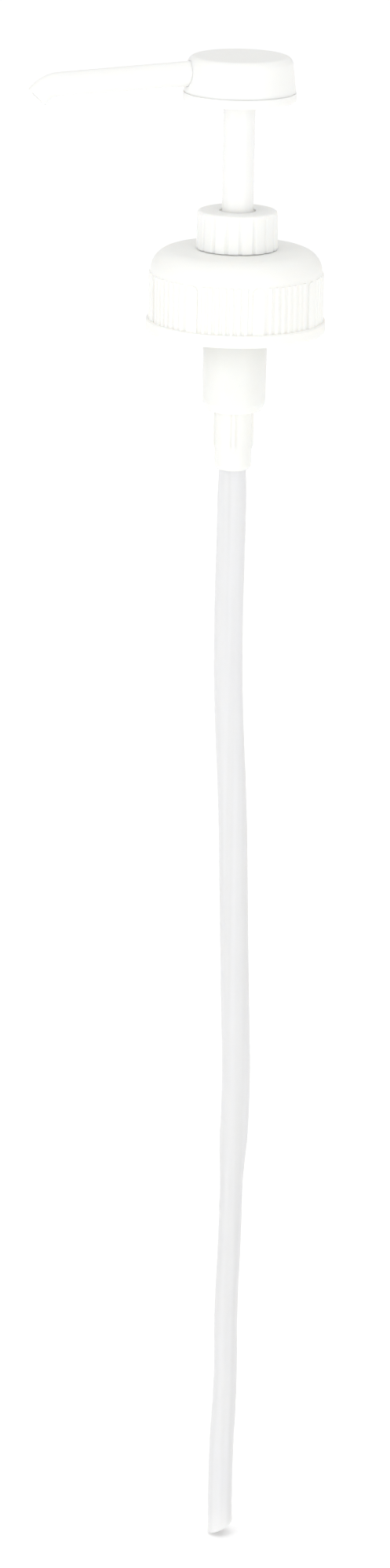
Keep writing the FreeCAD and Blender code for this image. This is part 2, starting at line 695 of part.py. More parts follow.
def make_stem_wiper():
    """Soft ring on the guide whose lip wipes the stem in the collar's hole."""
    body = new_body("stem_wiper")
    foot_top = wiper_low + cell("wiper_height")
    lip_outside = guide_bore_radius + cell("wiper_lip_width")
    lip_top = foot_top + cell("wiper_lip_height")
    corners = [
        (guide_bore_radius, wiper_low),
        (guide_bore_radius + cell("wiper_foot_width"), wiper_low),
        (guide_bore_radius + cell("wiper_foot_width"), foot_top),
        (lip_outside, foot_top),
        (lip_outside - cell("wiper_lip_taper"), lip_top),
        (guide_bore_radius, lip_top),
    ]
    turned(body, outline(body, "wiper_outline", corners), "wiper_turned")
    return body


def make_piston_carrier():
    """Spool pressed on the stem's lower end, between whose flanges the seal sits."""
    body = new_body("piston_carrier")
    flange = cell("bore_radius") - cell("carrier_gap")
    spring_hole = cell("stem_bore_radius") + cell("snap_gap")
    corners = [
        (spring_hole, carrier_low),
        (flange, carrier_low),
        (flange, carrier_low + cell("carrier_flange")),
        (spool_core_radius, carrier_low + cell("carrier_flange")),
        (spool_core_radius, carrier_top - cell("carrier_flange")),
        (flange, carrier_top - cell("carrier_flange")),
        (flange, carrier_top),
        (stem_fit_radius, carrier_top),
        (stem_fit_radius, stem_low),
        (spring_hole, stem_low),
    ]
    turned(body, outline(body, "carrier_outline", corners), "carrier_turned")
    return body


def make_piston_seal():
    """Soft double-lipped sleeve that runs in the barrel's bore."""
    body = new_body("piston_seal")
    low = carrier_low + cell("carrier_flange") + cell("turn_gap")
    top = carrier_top - cell("carrier_flange") - cell("turn_gap")
    lip = cell("bore_radius") - cell("lip_gap")
    waist = lip - cell("seal_waist")
    inside = spool_core_radius + cell("running_gap")
    corners = [
        (inside, low),
        (lip, low),
        (lip, low + cell("seal_lip_land")),
        (waist, low + cell("seal_lip_land") + cell("seal_lip_slope")),
        (waist, top - cell("seal_lip_land") - cell("seal_lip_slope")),
        (lip, top - cell("seal_lip_land")),
        (lip, top),
        (inside, top),
    ]
    turned(body, outline(body, "seal_outline", corners), "seal_turned")
    return body


def make_stem():
    """Hollow rod from the piston up into the head, with the upper ball's seat in its end."""
    body = new_body("stem")
    corners = [
        (cell("stem_bore_radius"), stem_low),
        (cell("stem_radius"), stem_low),
        (cell("stem_radius"), stem_top),
        (cell("seat_rim_radius"), stem_top),
        (cell("stem_throat_radius"), throat_top),
        (cell("stem_throat_radius"), throat_low),
        (cell("stem_channel_radius"), throat_low),
        (cell("stem_channel_radius"), spring_top + cell("turn_gap")),
        (cell("stem_bore_radius"), spring_top + cell("turn_gap")),
    ]
    turned(body, outline(body, "stem_outline", corners), "stem_turned")
    return body


def spout_plane(sketch, distance):
    """Stand a sketch across the spout's straight centre line, this far out from the pump's axis."""
    slope = cell("spout_slope")
    out = -distance * cosine(slope)
    up = spout_height - distance * sine(slope)
    shift_sketch(sketch, up=up, out=out, axis=Vector(1, 0, 0), turn=-slope)


def make_head_shell():
    """Cover of the head with the boss that takes the stem and the socket that takes the spout."""
    body = new_body("head_shell")
    inner_skirt = cell("head_skirt_radius") - cell("head_wall")
    inner_crown = cell("head_crown_radius") - cell("head_wall")
    boss = stem_fit_radius + cell("chamber_wall")
    roof = head_top - cell("head_wall")
    corners = [
        (ZERO, head_top),
        (cell("head_crown_radius"), head_top),
        (cell("head_skirt_radius"), shell_low),
        (inner_skirt, shell_low),
        (inner_crown, roof),
        (boss, roof),
        (boss, boss_low),
        (stem_fit_radius, boss_low),
        (stem_fit_radius, stem_top),
        (outlet_chamber_radius, stem_top),
        (outlet_chamber_radius, outlet_cage_top + cell("press_gap")),
        (ZERO, outlet_cage_top + cell("press_gap")),
    ]
    shell = turned(body, outline(body, "shell_outline", corners), "shell_turned")
    top_edge = [(cell("head_crown_radius"), head_top)]
    rounded(body, shell, "shell_top_edge", top_edge, cell("head_edge_round"))

    socket_half = cell("spout_root_radius") + cell("spout_socket_wall")
    middle_of_socket = (cell("spout_inner_end") + inner_crown) / 2
    socket_height = spout_height - middle_of_socket * sine(cell("spout_slope"))
    block_top = roof + cell("spout_socket_sink")
    sketch = arch(body, "socket_section", socket_half, block_top, socket_height, "YZ_Plane")
    block_start = boss - cell("chamber_wall") / 2
    shift_sketch(sketch, out=-block_start)
    block_length = inner_crown + cell("spout_socket_reach") - block_start
    add_or_cut("Pad", body, sketch, "spout_socket", block_length, reverse=True)

    socket_bore = cell("spout_root_radius") + cell("press_gap")
    sketch = round_hole(body, "socket_circle", socket_bore, plane="YZ_Plane")
    spout_plane(sketch, cell("spout_inner_end"))
    add_or_cut("Pocket", body, sketch, "spout_socket_bore", cell("head_skirt_radius"))
    sketch = round_hole(body, "passage_circle", cell("spout_bore_radius"), plane="YZ_Plane")
    spout_plane(sketch, cell("spout_inner_end"))
    passage = cell("spout_inner_end") - outlet_cage_bore
    add_or_cut("Pocket", body, sketch, "passage", passage, reverse=True)
    return body


def make_head_base():
    """Plate that closes the head's underside, with its visible rim and the boss round the stem."""
    body = new_body("head_base")
    boss = stem_fit_radius + cell("stem_boss_wall")
    spigot = cell("head_skirt_radius") - cell("head_wall") - cell("base_spigot_gap")
    spigot_inside = spigot - cell("base_spigot_width")
    seat = cell("head_skirt_radius") - cell("groove_depth")
    spigot_top = shell_low + cell("base_spigot_height")
    corners = [
        (stem_fit_radius, rim_low - cell("stem_boss_drop")),
        (boss, rim_low - cell("stem_boss_drop")),
        (boss, rim_low),
        (cell("rim_radius"), rim_low),
        (cell("rim_radius"), rim_top),
        (seat, rim_top),
        (seat, shell_low),
        (spigot, shell_low),
        (spigot, spigot_top),
        (spigot_inside, spigot_top),
        (spigot_inside, plate_top),
        (stem_fit_radius, plate_top),
    ]
    plate = turned(body, outline(body, "base_outline", corners), "base_turned")
    rounded(body, plate, "base_edge", [(cell("rim_radius"), rim_low)], cell("rim_round"))
    return body


def make_outlet_cage():
    """Small bell in the head that keeps the upper ball near its seat and lets the liquid out."""
    body = new_body("outlet_cage")
    corners = [
        (outlet_cage_bore, stem_top),
        (outlet_cage_radius, stem_top),
        (outlet_cage_radius, outlet_cage_top),
        (ZERO, outlet_cage_top),
        (ZERO, outlet_cage_under),
        (outlet_cage_bore, outlet_cage_under),
    ]
    turned(body, outline(body, "outlet_cage_outline", corners), "outlet_cage_turned")
    half = cell("outlet_window_width") / 2
    low = stem_top + cell("outlet_window_sill")
    corners = [(-half, low), (half, low), (half, outlet_cage_under), (-half, outlet_cage_under)]
    sketch = outline(body, "window_outline", corners, "YZ_Plane")
    window = add_or_cut("Pocket", body, sketch, "window", outlet_cage_radius)
    pattern(body, window, "windows", cell("outlet_cage_windows"))
    return body


def tip_plane(sketch):
    """Stand a sketch across the spout where its bend ends."""
    slope = cell("spout_slope")
    end = cell("spout_end_angle")
    bend = cell("spout_bend_round")
    out = cell("spout_straight_end") * cosine(slope) + bend * (sine(end) - sine(slope))
    down = cell("spout_straight_end") * sine(slope) + bend * (cosine(slope) - cosine(end))
    shift_sketch(sketch, up=spout_height - down, out=-out, axis=Vector(1, 0, 0), turn=-end)


def bend(kind, body, name, radius):
    """Swing a circle round the middle of the spout's bend, to add the bend or cut its channel."""
    sketch = round_hole(body, f"{name}_circle", radius, plane="YZ_Plane")
    spout_plane(sketch, cell("spout_straight_end"))
    below = cell("spout_bend_round")
    ends = [Vector(side * below.number, -below.number, 0) for side in (1, -1)]
    sketch.addGeometry(Part.LineSegment(*ends), True)
    constrain(sketch, corner_entries(1, 1, below, -below) + corner_entries(1, 2, -below, -below))
    feature = body.newObject(f"PartDesign::{kind}", name)
    feature.Profile = sketch
    feature.ReferenceAxis = (sketch, ["Axis0"])
    feature.setExpression("Angle", (cell("spout_end_angle") - cell("spout_slope")).text)
    doc.recompute()
    return feature


def make_spout():
    """Tapered tube from the head, bent down at its end, with a channel all the way through."""
    body = new_body("spout")
    start = cell("spout_inner_end")
    straight = cell("spout_straight_end") - start
    fall = cell("spout_root_radius") - cell("spout_bend_radius")
    sketch = round_hole(body, "root_circle", cell("spout_root_radius"), plane="YZ_Plane")
    spout_plane(sketch, start)
    tapered = add_or_cut("Pad", body, sketch, "straight_part", straight, reverse=True)
    tapered.setExpression("TaperAngle", f"atan(-1 * {fall.text} / {straight.text})")
    doc.recompute()
    bend("Revolution", body, "bend", cell("spout_bend_radius"))
    sketch = round_hole(body, "tip_circle", cell("spout_bend_radius"), plane="YZ_Plane")
    tip_plane(sketch)
    add_or_cut("Pad", body, sketch, "tip", cell("spout_tip_length"), reverse=True)

    sketch = round_hole(body, "channel_circle", cell("spout_bore_radius"), plane="YZ_Plane")
    spout_plane(sketch, start)
    add_or_cut("Pocket", body, sketch, "straight_channel", straight)
    bend("Groove", body, "bend_channel", cell("spout_bore_radius"))
    sketch = round_hole(body, "tip_channel_circle", cell("spout_bore_radius"), plane="YZ_Plane")
    tip_plane(sketch)
    add_or_cut("Pocket", body, sketch, "tip_channel", cell("spout_tip_length"))
    return body


def make_ball(name, radius, height):
    """A valve ball on the pump's axis."""
    ball = doc.addObject("Part::Sphere", name)
    ball.setExpression("Radius", radius.text)
    ball.setExpression("Placement.Base.z", height.text)
    return ball


def make_return_spring():
    """Wire spring that stands on the ball cage and reaches up into the hollow stem."""
    wire = cell("spring_wire").number
    coil = cell("spring_radius").number
    rise = cell("spring_length").number - wire
    path = Part.makeHelix(rise / cell("spring_turns").number, rise, coil)
    section = Part.Wire(Part.makeCircle(wire / 2, Vector(coil, 0, 0), Vector(0, 1, 0)))
    spring = doc.addObject("Part::Feature", "return_spring")
    spring.Shape = path.makePipeShell([section], True, True)
    spring.Placement = Placement(Vector(0, 0, cage_top.number + wire / 2), Rotation())
    return spring


def tube_path():
    """Centre line of the dip tube, straight runs joined by arcs that touch them."""
    turn = math.radians(cell("tube_wave_turn").number)
    sideways = Vector(math.cos(turn), math.sin(turn), 0)
    points = [sideways * bow + Vector(0, 0, tube_top.number - down) for bow, down in TUBE_ROUTE]
    edges = []
    start = points[0]
    for before, corner, after in zip(points, points[1:], points[2:]):
        run_in = corner - before
        run_out = after - corner
        reach = ARC_SHARE * min(run_in.Length, run_out.Length)
        half_turn = run_in.getAngle(run_out) / 2
        radius = reach / math.tan(half_turn)
        way_in = Vector(run_in).normalize()
        way_out = Vector(run_out).normalize()
        inward = (way_out - way_in).normalize()
        first = corner - way_in * reach
        middle = corner + inward * (radius / math.cos(half_turn) - radius)
        last = corner + way_out * reach
        print(f"dip tube arc radius {radius:.0f} mm")
        edges.append(Part.LineSegment(start, first).toShape())
        edges.append(Part.Arc(first, middle, last).toShape())
        start = last
    edges.append(Part.LineSegment(start, points[-1]).toShape())
    return Part.Wire(edges), sideways


def make_dip_tube():
    """Long suction tube, gently bowed, with a slanting cut at its lower end."""
    path, sideways = tube_path()
    outside = cell("tube_radius").number
    inside = outside - cell("tube_wall").number
    top = Vector(0, 0, tube_top.number)
    skins = []
    for radius in (outside, inside):
        section = Part.Wire(Part.makeCircle(radius, top, Vector(0, 0, 1)))
        skins.append(path.makePipeShell([section], True, False))
    tube = skins[0].cut(skins[1])

    bow, down = TUBE_ROUTE[-1]
    end = sideways * bow + Vector(0, 0, tube_top.number - down)
    slant = cell("tube_end_cut").number
    half = 4 * outside
    waste = Part.makeBox(2 * half, 2 * half, half, Vector(-half, -half, -half))
    lift = outside * math.tan(math.radians(slant))
    turn = Rotation(Vector(0, 0, 1), cell("tube_wave_turn").number)
    tilt = Rotation(Vector(0, 1, 0), -slant)
    waste.Placement = Placement(end + Vector(0, 0, lift), turn.multiply(tilt))
    dip_tube = doc.addObject("Part::Feature", "dip_tube")
    dip_tube.Shape = tube.cut(waste)
    length = path.Length
    print(f"dip tube {length:.1f} mm along its centre line, volume {tube.Volume:.1f}, "
          f"section times length {math.pi * (outside ** 2 - inside ** 2) * length:.1f}")
    return dip_tube


def make_pieces():
    """Every separate piece of the pump, by the name of its node."""
    seal_outside = guide_flange_radius
    seal_inside = seal_outside - cell("guide_seal_width")
    return [
        make_pump_body(),
        make_ball_cage(),
        make_ball("inlet_ball", cell("inlet_ball_radius"), inlet_ball_centre),
        make_dip_tube(),
        make_return_spring(),
        ring("neck_gasket", cell("gasket_hole_radius"), gasket_radius, ZERO, flange_low),
        make_screw_cap(),
        make_collar_nut(),
        ring("guide_seal", seal_inside, seal_outside, neck_top, guide_flange_low),
        make_stem_guide(),
        make_stem_wiper(),
        make_piston_seal(),
        make_piston_carrier(),
        make_stem(),
        make_ball("outlet_ball", cell("outlet_ball_radius"), outlet_ball_centre),
        make_outlet_cage(),
        make_head_base(),
        make_head_shell(),
        make_spout(),
    ]


def check_and_write(pieces):
    """Stop if anything in the document failed, then write each piece to its own file."""
    doc.recompute()
    failed = [item.Name for item in doc.Objects if {"Invalid", "Error"} & set(item.State)]
    if failed:
        raise RuntimeError(f"these failed: {failed}")
    for piece in pieces:
        shape = piece.Shape
        if shape.isNull() or not shape.isValid() or len(shape.Solids) != 1:
            raise RuntimeError(f"{piece.Label} isn't one valid solid")
        box = shape.BoundBox
        print(f"{piece.Label}: volume {shape.Volume:.1f}, Z {box.ZMin:.2f} to {box.ZMax:.2f}, "
              f"{len(shape.Faces)} faces")
    for piece in pieces:
        piece.Shape.exportStep(f"parts/{piece.Label}.step")


check_and_write(make_pieces())
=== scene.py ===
"""Looks of the canister dispensing pump: finishes, finer pieces, studio and camera."""

from __future__ import annotations

import logging
import math
from dataclasses import dataclass
from enum import Enum
from typing import Any, Sequence

import bpy
from mathutils import Euler, Matrix, Vector

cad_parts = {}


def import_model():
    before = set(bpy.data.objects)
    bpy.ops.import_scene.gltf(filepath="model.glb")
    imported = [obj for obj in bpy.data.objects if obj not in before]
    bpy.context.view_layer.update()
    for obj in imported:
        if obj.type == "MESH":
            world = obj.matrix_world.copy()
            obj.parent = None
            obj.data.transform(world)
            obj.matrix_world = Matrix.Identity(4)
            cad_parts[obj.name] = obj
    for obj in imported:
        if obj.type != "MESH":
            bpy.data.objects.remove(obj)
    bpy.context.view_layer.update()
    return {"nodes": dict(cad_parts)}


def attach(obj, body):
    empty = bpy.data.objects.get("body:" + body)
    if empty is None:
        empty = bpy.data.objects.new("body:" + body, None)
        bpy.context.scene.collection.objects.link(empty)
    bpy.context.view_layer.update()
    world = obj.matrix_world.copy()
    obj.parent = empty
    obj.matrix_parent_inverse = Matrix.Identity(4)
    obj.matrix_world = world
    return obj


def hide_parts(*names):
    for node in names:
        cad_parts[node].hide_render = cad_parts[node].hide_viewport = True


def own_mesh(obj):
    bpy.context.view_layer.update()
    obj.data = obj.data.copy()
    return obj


LOG = logging.getLogger("canister_pump")
MM = 0.001

# The sRGB standard's curve: a straight foot, and above it a power
SRGB_FOOT_END = 0.04045
SRGB_FOOT_SLOPE = 12.92
SRGB_OFFSET = 0.055
SRGB_POWER = 2.4


class Slot(Enum):
    """The record's material slots."""

    HEAD = "white_head"
    CAP = "white_cap"
    TUBE = "natural_tube"
    WIRE = "stainless_wire"


class Carrier(Enum):
    """The moving bodies that pieces ride on."""

    HOUSING = "housing"
    CAP = "cap"
    PLUNGER = "plunger"


def linear_shade(shade: float) -> float:
    """Undo the sRGB curve.

    Args:
        shade: one part of an sRGB colour, from 0 to 1.

    Returns:
        The linear value.
    """
    if shade <= SRGB_FOOT_END:
        return shade / SRGB_FOOT_SLOPE
    return ((shade + SRGB_OFFSET) / (1 + SRGB_OFFSET)) ** SRGB_POWER


def linear(code: str) -> tuple[float, float, float, float]:
    """Turn an sRGB hex colour into a linear one.

    Args:
        code: a # and six hex digits.

    Returns:
        Linear red, green, blue and an alpha of one.
    """
    red, green, blue = [linear_shade(int(code[at:at + 2], 16) / 255) for at in (1, 3, 5)]
    return red, green, blue, 1.0


def per_metre(size_mm: float) -> float:
    """Return the scale at which a pattern on coordinates in metres has this size."""
    return 1 / (size_mm * MM)


def add_node(tree: bpy.types.NodeTree, kind: str, feeds: dict[Any, Any] | None = None,
             **settings: Any) -> bpy.types.Node:
    """Add a node with its settings, its values and what is linked to it.

    Args:
        tree: the node tree.
        kind: the node's type.
        feeds: by input name or number, a value or the output socket that feeds it.
        **settings: the node's own properties.

    Returns:
        The new node.
    """
    node = tree.nodes.new(kind)
    for name, value in settings.items():
        setattr(node, name, value)
    for name, value in (feeds or {}).items():
        socket = node.inputs[name]
        if isinstance(value, bpy.types.NodeSocket):
            tree.links.new(value, socket)
        else:
            socket.default_value = value
    return node


def empty_material(name: str) -> bpy.types.Material:
    """Make a material with no nodes.

    Args:
        name: the material's name.

    Returns:
        The material.
    """
    material = bpy.data.materials.new(name)
    material.use_nodes = True
    material.node_tree.nodes.clear()
    return material


@dataclass(frozen=True)
class Finish:
    """A surface finish: what all kinds of it have."""

    name: str
    colour: str
    tint: str
    roughness: float

    def build(self) -> bpy.types.Material:
        """Make the finish a material.

        Returns:
            The material.
        """
        material = empty_material(self.name)
        tree = material.node_tree
        place = add_node(tree, "ShaderNodeTexCoord").outputs["Object"]
        shader = self.surface(tree, place)
        add_node(tree, "ShaderNodeOutputMaterial", {"Surface": shader.outputs["BSDF"]})
        return material

    def surface(self, tree: bpy.types.NodeTree, place: bpy.types.NodeSocket) -> bpy.types.Node:
        """Build the surface shader, which is each kind of finish's own.

        Args:
            tree: the material's tree.
            place: coordinates in metres.

        Returns:
            The shader's node.
        """
        raise NotImplementedError

    def clouded(self, tree: bpy.types.NodeTree, place: bpy.types.NodeSocket,
                cloud_mm: float) -> bpy.types.NodeSocket:
        """Colour that drifts slowly between the finish's two colours.

        Args:
            tree: the material's tree.
            place: coordinates in metres.
            cloud_mm: size of the clouds.

        Returns:
            The colour's output.
        """
        drift = add_node(tree, "ShaderNodeTexNoise", {
            "Vector": place, "Scale": per_metre(cloud_mm), "Detail": 3.0, "Roughness": 0.5,
        })
        blend = add_node(tree, "ShaderNodeMix", {
            "Factor": drift.outputs["Fac"], "A": linear(self.colour), "B": linear(self.tint),
        }, data_type="RGBA")
        return blend.outputs["Result"]


@dataclass(frozen=True)
class MouldedPlastic(Finish):
    """Pigmented plastic out of an injection mould.

    The mould's spark-eroded steel leaves a very fine grain, so the gloss is soft, and the
    pigment lets light in by a fraction of a millimetre, so that thin edges glow a little.
    """

    cloud_mm: float
    ior: float = 1.49
    grain_mm: float = 0.35
    relief_mm: float = 0.012
    relief_strength: float = 0.35
    gloss_spread: float = 0.03
    scatter: float = 0.3
    scatter_mm: float = 2.2
    scatter_share: tuple[float, float, float] = (1.0, 0.9, 0.75)

    def surface(self, tree: bpy.types.NodeTree, place: bpy.types.NodeSocket) -> bpy.types.Node:
        """Build the shader: a fine grain, a gloss that drifts and light that goes in.

        Args:
            tree: the material's tree.
            place: coordinates in metres.

        Returns:
            The shader's node.
        """
        grain = add_node(tree, "ShaderNodeTexNoise", {
            "Vector": place, "Scale": per_metre(self.grain_mm), "Detail": 2.0, "Roughness": 0.6,
        })
        bump = add_node(tree, "ShaderNodeBump", {
            "Strength": self.relief_strength, "Distance": self.relief_mm * MM,
            "Height": grain.outputs["Fac"],
        })
        flow = add_node(tree, "ShaderNodeTexNoise", {
            "Vector": place, "Scale": per_metre(self.cloud_mm), "Detail": 1.5,
        })
        gloss = add_node(tree, "ShaderNodeMapRange", {
            "Value": flow.outputs["Fac"], "From Min": 0.1, "From Max": 0.9,
            "To Min": self.roughness - self.gloss_spread, "To Max": self.roughness + self.gloss_spread,
        })
        return add_node(tree, "ShaderNodeBsdfPrincipled", {
            "Base Color": self.clouded(tree, place, self.cloud_mm),
            "Roughness": gloss.outputs["Result"], "IOR": self.ior, "Normal": bump.outputs["Normal"],
            "Subsurface Weight": self.scatter, "Subsurface Scale": self.scatter_mm * MM,
            "Subsurface Radius": self.scatter_share,
        })


@dataclass(frozen=True)
class ExtrudedTube(Finish):
    """Uncoloured polyethylene drawn through a die.

    The die leaves faint lines along the tube, and the clouded wall lets some light through.
    """

    ior: float = 1.52
    line_mm: float = 0.9
    # width of the pale streaks, which are painted reflections of the lamps
    reflection_streak_mm: float = 3.4
    run_mm: float = 120.0
    relief_mm: float = 0.02
    relief_strength: float = 0.3
    gloss_spread: float = 0.06
    scatter: float = 0.6
    scatter_mm: float = 4.0
    scatter_share: tuple[float, float, float] = (1.0, 0.95, 0.85)
    clear: float = 0.12

    def painted_reflection_colour(self, tree: bpy.types.NodeTree, place: bpy.types.NodeSocket) -> bpy.types.NodeSocket:
        """Colour in long pale streaks along the tube, which are painted reflections of the lamps.

        Args:
            tree: the material's tree.
            place: coordinates in metres.

        Returns:
            The colour's output.
        """
        fine = per_metre(self.reflection_streak_mm)
        drawn = add_node(tree, "ShaderNodeMapping", {
            "Vector": place, "Scale": (fine, fine, per_metre(2 * self.run_mm)),
        })
        # noise that places the painted reflection streaks
        reflection_streaks = add_node(tree, "ShaderNodeTexNoise", {
            "Vector": drawn.outputs["Vector"], "Scale": 1.0, "Detail": 1.0, "Roughness": 0.4,
        })
        share = add_node(tree, "ShaderNodeMapRange", {
            "Value": reflection_streaks.outputs["Fac"], "From Min": 0.35, "From Max": 0.65,
        })
        blend = add_node(tree, "ShaderNodeMix", {
            "Factor": share.outputs["Result"], "A": linear(self.colour), "B": linear(self.tint),
        }, data_type="RGBA")
        return blend.outputs["Result"]

    def surface(self, tree: bpy.types.NodeTree, place: bpy.types.NodeSocket) -> bpy.types.Node:
        """Build the shader: lines along the tube, pale streaks that are painted reflections, and a
        wall that lets light in.

        Args:
            tree: the material's tree.
            place: coordinates in metres.

        Returns:
            The shader's node.
        """
        fine = per_metre(self.line_mm)
        drawn = add_node(tree, "ShaderNodeMapping", {
            "Vector": place, "Scale": (fine, fine, per_metre(self.run_mm)),
        })
        lines = add_node(tree, "ShaderNodeTexNoise", {
            "Vector": drawn.outputs["Vector"], "Scale": 1.0, "Detail": 2.0, "Roughness": 0.5,
        })
        bump = add_node(tree, "ShaderNodeBump", {
            "Strength": self.relief_strength, "Distance": self.relief_mm * MM,
            "Height": lines.outputs["Fac"],
        })
        gloss = add_node(tree, "ShaderNodeMapRange", {
            "Value": lines.outputs["Fac"], "From Min": 0.3, "From Max": 0.7,
            "To Min": self.roughness - self.gloss_spread, "To Max": self.roughness + self.gloss_spread,
        })
        return add_node(tree, "ShaderNodeBsdfPrincipled", {
            "Base Color": self.painted_reflection_colour(tree, place), "Roughness": gloss.outputs["Result"],
            "IOR": self.ior, "Normal": bump.outputs["Normal"],
            "Subsurface Weight": self.scatter, "Subsurface Scale": self.scatter_mm * MM,
            "Subsurface Radius": self.scatter_share, "Transmission Weight": self.clear,
        })


@dataclass(frozen=True)
class SoftFoam(Finish):
    """Closed-cell foam or soft rubber: dull, with small round cells in its surface."""

    cloud_mm: float
    ior: float = 1.5
    cell_mm: float = 0.5
    relief_mm: float = 0.05
    relief_strength: float = 0.5

    def surface(self, tree: bpy.types.NodeTree, place: bpy.types.NodeSocket) -> bpy.types.Node:
        """Build the shader: dull, over small round cells.

        Args:
            tree: the material's tree.
            place: coordinates in metres.

        Returns:
            The shader's node.
        """
        cells = add_node(tree, "ShaderNodeTexVoronoi", {
            "Vector": place, "Scale": per_metre(self.cell_mm),
        })
        bump = add_node(tree, "ShaderNodeBump", {
            "Strength": self.relief_strength, "Distance": self.relief_mm * MM,
            "Height": cells.outputs["Distance"],
        })
        return add_node(tree, "ShaderNodeBsdfPrincipled", {
            "Base Color": self.clouded(tree, place, self.cloud_mm), "Roughness": self.roughness,
            "IOR": self.ior, "Normal": bump.outputs["Normal"],
        })


@dataclass(frozen=True)
class StainlessSteel(Finish):
    """Stainless steel, drawn as wire or ground as a ball: a metal with fine marks in it."""

    cloud_mm: float
    mark_mm: float = 0.15
    stretch: tuple[float, float, float] = (1.0, 1.0, 1.0)
    relief_mm: float = 0.002
    relief_strength: float = 0.2
    polished_share: float = 0.7
    marked_share: float = 1.4

    def surface(self, tree: bpy.types.NodeTree, place: bpy.types.NodeSocket) -> bpy.types.Node:
        """Build the shader: bare metal, rougher where it is marked.

        Args:
            tree: the material's tree.
            place: coordinates in metres.

        Returns:
            The shader's node.
        """
        fine = per_metre(self.mark_mm)
        laid = add_node(tree, "ShaderNodeMapping", {
            "Vector": place, "Scale": tuple(fine * share for share in self.stretch),
        })
        marks = add_node(tree, "ShaderNodeTexNoise", {
            "Vector": laid.outputs["Vector"], "Scale": 1.0, "Detail": 3.0,
        })
        gloss = add_node(tree, "ShaderNodeMapRange", {
            "Value": marks.outputs["Fac"], "From Min": 0.25, "From Max": 0.75,
            "To Min": self.roughness * self.polished_share,
            "To Max": self.roughness * self.marked_share,
        })
        bump = add_node(tree, "ShaderNodeBump", {
            "Strength": self.relief_strength, "Distance": self.relief_mm * MM,
            "Height": marks.outputs["Fac"],
        })
        return add_node(tree, "ShaderNodeBsdfPrincipled", {
            "Base Color": self.clouded(tree, place, self.cloud_mm), "Metallic": 1.0,
            "Roughness": gloss.outputs["Result"], "Normal": bump.outputs["Normal"],
        })


# White polypropylene, moulded: satin and slightly glossy where hands touch it
HEAD_PLASTIC = MouldedPlastic("moulded_polypropylene_head", "#f1f1ee", "#ededea", 0.36, 26.0)
SPOUT_PLASTIC = MouldedPlastic("moulded_polypropylene_spout", "#f1f1ee", "#ededea", 0.33, 30.0)
# A stem is polished so that it slides, so its mould has no grain to speak of
STEM_PLASTIC = MouldedPlastic("polished_polypropylene_stem", "#f0f0ee", "#ececea", 0.22, 22.0,
                              grain_mm=0.8, relief_mm=0.004)
COLLAR_PLASTIC = MouldedPlastic("moulded_polypropylene_collar", "#f1f1ee", "#ededea", 0.38, 24.0,
                                scatter=0.55, scatter_mm=3.2)
BARREL_PLASTIC = MouldedPlastic("moulded_polypropylene_barrel", "#f1f1ed", "#ebebe6", 0.34, 20.0,
                                scatter=0.4, scatter_mm=2.8)
# Polyethylene is waxier than polypropylene: duller, and light goes deeper into it
CAP_PLASTIC = MouldedPlastic("moulded_polyethylene_cap", "#f1f1ee", "#ecece8", 0.42, 28.0,
                             ior=1.51, grain_mm=0.45, relief_mm=0.016, scatter=0.4, scatter_mm=2.8)
NATURAL_PLASTIC = MouldedPlastic("uncoloured_polyethylene", "#ecece6", "#e4e4dc", 0.45, 12.0,
                                 ior=1.52, scatter=0.5, scatter_mm=3.0)
# the tube's two colours alternate in streaks that are painted reflections of the lamps
TUBE_PLASTIC = ExtrudedTube("extruded_polyethylene_tube", "#f6f5f4", "#eeedeb", 0.34)
# Foam and soft rubber look dry, because their surfaces send light back every way
GASKET_FOAM = SoftFoam("polyethylene_foam", "#e6e5de", "#dcdbd2", 0.75, 6.0)
WIPER_RUBBER = SoftFoam("thermoplastic_rubber", "#f3f3f0", "#ecece8", 0.6, 8.0,
                        cell_mm=0.25, relief_mm=0.01)
# Drawing leaves long marks on the wire, and grinding leaves a ball close to a mirror
SPRING_STEEL = StainlessSteel("drawn_stainless_wire", "#c9c9c6", "#b9b9b5", 0.24, 4.0,
                              stretch=(1.0, 1.0, 0.25))
BALL_STEEL = StainlessSteel("ground_stainless_ball", "#d2d2d0", "#c8c8c5", 0.09, 3.0)


class Dresser:
    """Builds each finish once and puts it on CAD nodes and on new pieces."""

    def __init__(self, nodes: dict[str, bpy.types.Object]) -> None:
        """Keep the frame's nodes.

        Args:
            nodes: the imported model's nodes by name.
        """
        self.nodes = nodes
        self.made: dict[str, bpy.types.Material] = {}

    def material(self, finish: Finish) -> bpy.types.Material:
        """Return a finish's material, built on first use.

        Args:
            finish: one of the finishes above.

        Returns:
            The material.
        """
        if finish.name not in self.made:
            self.made[finish.name] = finish.build()
        return self.made[finish.name]

    def dress_node(self, name: str, finish: Finish) -> None:
        """Give a CAD node a finish in all its material slots.

        Args:
            name: the node's name.
            finish: the finish.
        """
        node = self.nodes[name]
        if not node.data.materials:
            node.data.materials.append(None)
        for index in range(len(node.data.materials)):
            node.data.materials[index] = self.material(finish)
        LOG.info("%s has %s", name, finish.name)

    def new_piece(self, name: str, mesh: bpy.types.Mesh, finish: Finish, carrier: Carrier,
                  stands_for: Sequence[str] = ()) -> bpy.types.Object:
        """Make a mesh a piece of the object.

        Args:
            name: the piece's name.
            mesh: its mesh, already in place.
            finish: its finish.
            carrier: the body it rides on.
            stands_for: CAD nodes that it replaces.

        Returns:
            The piece.
        """
        piece = bpy.data.objects.new(name, mesh)
        bpy.context.scene.collection.objects.link(piece)
        mesh.materials.clear()
        mesh.materials.append(self.material(finish))
        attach(piece, carrier.value)
        if stands_for:
            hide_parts(*stands_for)
        LOG.info("%s: %d faces, %s", name, len(mesh.polygons), finish.name)
        return piece


